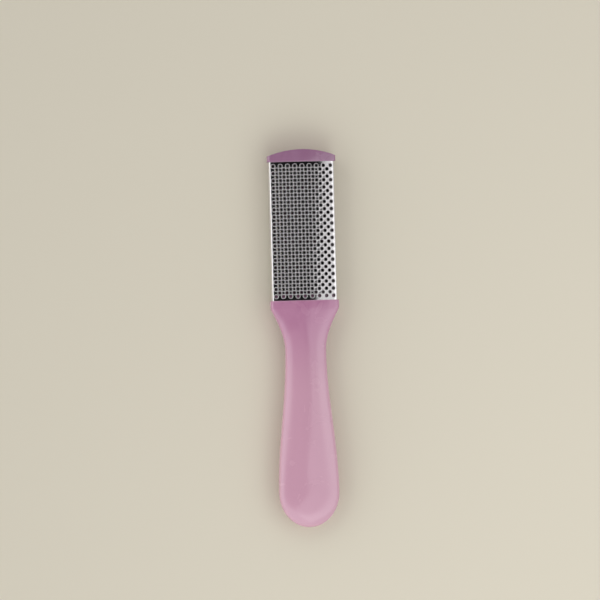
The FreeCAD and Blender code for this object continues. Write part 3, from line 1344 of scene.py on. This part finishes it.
@dataclass(frozen=True)
class PinkPlastic:
    """Glossy pink moulded plastic.

    Attributes:
        name: The finish's name.
        colour: Its main colour.
        deep: Its colour where the melt flowed last.
        pale: Its colour towards the butt, paler there as painted light.
        dust: Colour of the dust on it.
        inside_shade: Colour of the painted shade, near black, on the frame's inside.
        roughness: Roughness of its clean, polished skin.
        coat: Share of the clear, shiny skin.
        coat_roughness: Roughness of that skin.
        parting: Height of the mould's parting plane, in millimetres.
        parting_half: Half the width of the parting line, in millimetres.
        painted_light_between: Where along the file the painted light begins and is full, in millimetres.
        flow: The deep streaks that the melt left.
        peel: The faint waves of its skin.
        dust_share: Share of the dust's colour in a speck.
        inside_shade_span: Marks at which the painted shade inside begins and is full.
        smudge_haze: Roughness that a smudge adds.
        scratch_haze: Roughness that a scratch adds.
        peel_height: Height of the waves in the relief.
        parting_height: Height of the parting line in it.
        scratch_depth: Depth of a scratch in it.
        relief_strength: Strength of the relief.
        relief_depth: What a height of 1 measures in it.
    """

    name: str = "pink_moulded_plastic"
    colour: Colour = (0.525, 0.242, 0.385, 1.0)
    deep: Colour = (0.470, 0.198, 0.338, 1.0)
    pale: Colour = (0.648, 0.358, 0.472, 1.0)
    dust: Colour = (0.70, 0.66, 0.64, 1.0)
    inside_shade: Colour = (0.06, 0.035, 0.045, 1.0)
    roughness: float = 0.20
    coat: float = 1.0
    coat_roughness: float = 0.12
    parting: float = 5.7
    parting_half: float = 0.09
    painted_light_between: Span = (16.0, -25.0)
    flow: Pattern = Pattern(0.10, 3.0, 1.2, (0.35, 0.70), stretch=(1.0, 0.35, 1.0))
    peel: Pattern = Pattern(0.9)
    dust_share: float = 0.10
    inside_shade_span: Span = (0.2, 0.9)
    smudge_haze: float = 0.10
    scratch_haze: float = 0.10
    peel_height: float = 0.5
    parting_height: float = 1.6
    scratch_depth: float = 0.06
    relief_strength: float = 0.6
    relief_depth: float = 0.03 * MM

    def material(self) -> Material:
        """Makes the finish.

        Returns:
            The new material.
        """
        material, sheet, shader = new_material(self.name)
        spot = sheet.millimetres()
        scratches = FineScratches().place(sheet, spot)["Mask"]
        handling = HandlingMarks().place(sheet, spot)
        sheet.feed(shader.inputs["Base Color"], self.tint(sheet, spot, handling["Dust"]))
        smudged = sheet.math("MULTIPLY_ADD", handling["Smudge"], self.smudge_haze, self.roughness)
        worn = sheet.math("MULTIPLY_ADD", scratches, self.scratch_haze, smudged)
        sheet.feed(shader.inputs["Roughness"], worn)
        relief = self.relief(sheet, spot, scratches)
        sheet.emboss(shader, relief, self.relief_strength, self.relief_depth)
        shader.inputs["Coat Weight"].default_value = self.coat
        shader.inputs["Coat Roughness"].default_value = self.coat_roughness
        return material

    def tint(self, sheet: Sheet, spot: NodeSocket, specks: NodeSocket) -> NodeSocket:
        """Colours the skin by the melt's flow and the dust, with painted light paler towards the butt and
        painted shade on the frame's inside.

        Args:
            sheet: The material's nodes.
            spot: Coordinates in millimetres.
            specks: Mask of the dust.

        Returns:
            The colour's socket.
        """
        melt = sheet.mix(self.flow.place(sheet, spot), self.colour, self.deep)
        # Painted light: the skin turns paler from the head towards the butt.
        painted_light_share = sheet.ramp(sheet.parts(spot)["Y"], *self.painted_light_between)
        shaded = sheet.mix(painted_light_share, melt, self.pale)
        dusty = sheet.mix(sheet.math("MULTIPLY", specks, self.dust_share), shaded, self.dust)
        # Painted shade, near black, on the frame's inside.
        return sheet.mix(sheet.ramp(sheet.marks(), *self.inside_shade_span), dusty, self.inside_shade)

    def relief(self, sheet: Sheet, spot: NodeSocket, scratches: NodeSocket) -> NodeSocket:
        """Raises the parting line, waves the skin and sinks the scratches.

        Args:
            sheet: The material's nodes.
            spot: Coordinates in millimetres.
            scratches: Mask of the scratches.

        Returns:
            The relief's socket.
        """
        height = sheet.math("SUBTRACT", sheet.parts(spot)["Z"], self.parting)
        seam = sheet.ramp(sheet.math("ABSOLUTE", height), 0.0, self.parting_half, 1.0, 0.0)
        waves = sheet.math("MULTIPLY", self.peel.place(sheet, spot), self.peel_height)
        ridge = sheet.math("MULTIPLY_ADD", seam, self.parting_height, waves)
        return sheet.math("SUBTRACT", ridge, sheet.math("MULTIPLY", scratches, self.scratch_depth))


@dataclass(frozen=True)
class PlatedSteel:
    """Bright nickel-plated steel with painted shade inside and in its holes, and rims torn open by the
    punch.

    Attributes:
        name: The finish's name.
        colour: The plating.
        torn: The rims, roughened by the punch.
        hole_shade: Painted shade, near black, on the sheet's inside and the walls of its holes.
        roughness: Roughness of the clean plating.
        torn_span: Marks at which a rim begins to be torn and is fully so.
        hidden_span: Marks at which the painted shade of the inside begins and is full.
        smudge_haze: Roughness that a smudge adds.
        scratch_haze: Roughness that a scratch adds.
        torn_haze: Roughness that a torn rim adds.
        grain: The fine lines that the rolling left along the sheet.
        scratch_depth: Depth of a scratch in the relief.
        relief_strength: Strength of the relief.
        relief_depth: What a height of 1 measures in it.
    """

    name: str = "bright_plated_steel"
    colour: Colour = (0.78, 0.76, 0.77, 1.0)
    torn: Colour = (0.780, 0.759, 0.769, 1.0)
    hole_shade: Colour = (0.070, 0.067, 0.069, 1.0)
    roughness: float = 0.09
    torn_span: Span = (0.0, 0.3)
    hidden_span: Span = (0.55, 0.80)
    smudge_haze: float = 0.07
    scratch_haze: float = 0.12
    torn_haze: float = 0.50
    grain: Pattern = Pattern(stretch=(9.0, 0.25, 9.0))
    scratch_depth: float = 0.6
    relief_strength: float = 0.35
    relief_depth: float = 0.004 * MM

    def material(self) -> Material:
        """Makes the finish.

        Returns:
            The new material.
        """
        material, sheet, shader = new_material(self.name)
        spot, marks = sheet.millimetres(), sheet.marks()
        torn = sheet.ramp(marks, *self.torn_span)
        hidden = sheet.ramp(marks, *self.hidden_span)
        scratches = FineScratches().place(sheet, spot)["Mask"]
        smudges = HandlingMarks().place(sheet, spot)["Smudge"]
        plated = sheet.mix(torn, self.colour, self.torn)
        # The sheet's inside and the holes' walls get near-black painted shade.
        sheet.feed(shader.inputs["Base Color"], sheet.mix(hidden, plated, self.hole_shade))
        shader.inputs["Metallic"].default_value = 1.0
        smudged = sheet.math("MULTIPLY_ADD", smudges, self.smudge_haze, self.roughness)
        scored = sheet.math("MULTIPLY_ADD", scratches, self.scratch_haze, smudged)
        sheet.feed(shader.inputs["Roughness"], sheet.math("MULTIPLY_ADD", torn, self.torn_haze, scored))
        depth = sheet.math("MULTIPLY", scratches, self.scratch_depth)
        relief = sheet.math("SUBTRACT", self.grain.place(sheet, spot), depth)
        sheet.emboss(shader, relief, self.relief_strength, self.relief_depth)
        return material


@dataclass(frozen=True)
class FloorPaint:
    """The floor's plain pale paint.

    Attributes:
        colour: Its colour.
        roughness: Its roughness.
    """

    colour: Colour = (0.76, 0.706, 0.582, 1.0)
    roughness: float = 0.7

    def material(self) -> Material:
        """Makes the finish.

        Returns:
            The new material.
        """
        material, _, shader = new_material("pale_floor")
        shader.inputs["Base Color"].default_value = self.colour
        shader.inputs["Roughness"].default_value = self.roughness
        return material


@dataclass
class Studio:
    """Pale floor, one soft lamp, a surround that is dark overhead and pale at the sides, and the camera.

    Attributes:
        frame_width: Width of the picture at the file.
        distance: From the file to the camera.
        lean_degrees: How far the camera leans to the file's left.
        roll_degrees: How far the file is turned in the picture.
        right_of_frame: How far the file's middle lies to the right of the picture's.
        below_frame: How far it lies below it.
        sensor: Width of the camera's sensor, in millimetres.
        clip_start: Nearest distance that the camera sees.
        lamp_distance: From the file to the lamp's middle.
        lamp_bearing_degrees: The lamp's bearing, from the file's right.
        lamp_from_degrees: Angle of its near edge from the upright.
        lamp_to_degrees: Angle of its far edge.
        lamp_length: Its length.
        lamp_brightness: Its radiance.
        dark_within_degrees: Angle from the upright within which the surround is dark.
        pale_from_degrees: Angle from which it is pale.
        overhead: Its radiance where it is dark.
        surround: Its radiance where it is pale.
        left_lift: Share by which it is paler at the far left, and darker at the far right.
        floor_half: Half the floor's width.
    """

    frame_width: float = 249.6 * MM
    distance: float = 1.2
    lean_degrees: float = 5.5
    roll_degrees: float = 1.5
    right_of_frame: float = 2.16 * MM
    below_frame: float = 16.0 * MM
    sensor: float = 36.0
    clip_start: float = 10.0 * MM
    lamp_distance: float = 0.45
    lamp_bearing_degrees: float = -45.0
    lamp_from_degrees: float = 11.0
    lamp_to_degrees: float = 60.0
    lamp_length: float = 0.75
    lamp_brightness: float = 0.76
    dark_within_degrees: float = 30.0
    pale_from_degrees: float = 43.0
    overhead: float = 0.012
    surround: float = 1.04
    left_lift: float = 0.35
    floor_half: float = 4.0

    def camera(self, head: Head) -> None:
        """Places the camera above the file, leaning to its left.

        Args:
            head: Sizes that give the height of the file's middle plane.
        """
        lean, roll = math.radians(self.lean_degrees), math.radians(self.roll_degrees)
        back = Vector((-math.sin(lean), 0.0, math.cos(lean)))
        up = Vector((math.sin(roll), math.cos(roll), 0.0))
        up = (up - up.dot(back) * back).normalized()
        right = up.cross(back)
        aim = head.origin.z * UP - right * self.right_of_frame + up * self.below_frame
        data = bpy.data.cameras.new("camera")
        data.sensor_width = self.sensor
        data.lens = self.sensor * self.distance / self.frame_width
        data.clip_start = self.clip_start
        camera = bpy.data.objects.new("camera", data)
        turn = Matrix((right, up, back)).transposed().to_4x4()
        camera.matrix_world = Matrix.Translation(aim + back * self.distance) @ turn
        bpy.context.scene.collection.objects.link(camera)
        bpy.context.scene.camera = camera

    def lamp(self) -> None:
        """Hangs the soft lamp at the lower right, between two angles from the upright."""
        near, far = math.radians(self.lamp_from_degrees), math.radians(self.lamp_to_degrees)
        bearing = math.radians(self.lamp_bearing_degrees)
        height = 2 * self.lamp_distance * math.tan((far - near) / 2)
        tilt = (far + near) / 2
        flat = Vector((math.cos(bearing), math.sin(bearing), 0.0))
        data = bpy.data.lights.new("soft_lamp", "AREA")
        data.shape = "RECTANGLE"
        data.size, data.size_y = self.lamp_length, height
        data.energy = self.lamp_brightness * math.pi * self.lamp_length * height
        lamp = bpy.data.objects.new("soft_lamp", data)
        lamp.location = self.lamp_distance * (math.sin(tilt) * flat + math.cos(tilt) * UP)
        lamp.rotation_mode = "QUATERNION"
        lamp.rotation_quaternion = (-lamp.location).to_track_quat("-Z", "Y")
        bpy.context.scene.collection.objects.link(lamp)

    def floor(self) -> None:
        """Lays the plain pale floor."""
        mesh = bmesh.new()
        bmesh.ops.create_grid(mesh, x_segments=1, y_segments=1, size=self.floor_half)
        data = bpy.data.meshes.new("floor")
        mesh.to_mesh(data)
        mesh.free()
        data.materials.append(FloorPaint().material())
        floor = bpy.data.objects.new("floor", data)
        bpy.context.scene.collection.objects.link(floor)

    def world(self) -> None:
        """Sets the surround, dark overhead and pale at the sides, most so at the left."""
        world = bpy.data.worlds.new("studio")
        world.use_nodes = True
        sheet = Sheet(world.node_tree)
        direction = sheet.parts(sheet.add("TexCoord").outputs["Generated"])
        pale = math.cos(math.radians(self.pale_from_degrees))
        dark = math.cos(math.radians(self.dark_within_degrees))
        even = sheet.ramp(direction["Z"], pale, dark, self.surround, self.overhead)
        lift = sheet.math("MULTIPLY_ADD", direction["X"], -self.left_lift, 1.0)
        background = world.node_tree.nodes["Background"]
        background.inputs["Color"].default_value = WHITE
        sheet.feed(background.inputs["Strength"], sheet.math("MULTIPLY", even, lift))
        bpy.context.scene.world = world

    def build(self, head: Head) -> None:
        """Sets up the whole studio.

        Args:
            head: Sizes that give the height of the file's middle plane.
        """
        self.floor()
        self.world()
        self.lamp()
        self.camera(head)
        bpy.context.scene.view_settings.view_transform = "Standard"


def main() -> None:
    logging.basicConfig(level=logging.INFO)
    head = Head()
    plastic = PinkPlastic()
    # The cap's plastic is a darker copy of the handle's: painted shade.
    shaded_cap_plastic = PinkPlastic("shaded_pink_moulded_plastic", colour=(0.352, 0.180, 0.294, 1.0),
                               deep=(0.318, 0.155, 0.265, 1.0))
    steel = PlatedSteel().material()
    Handle(head).build(plastic.material())
    TipCap(head).build(shaded_cap_plastic.material())
    for side in Side:
        RaspPlate(head, side).build(steel)
    Studio().build(head)


if __name__ == "__main__":
    main()
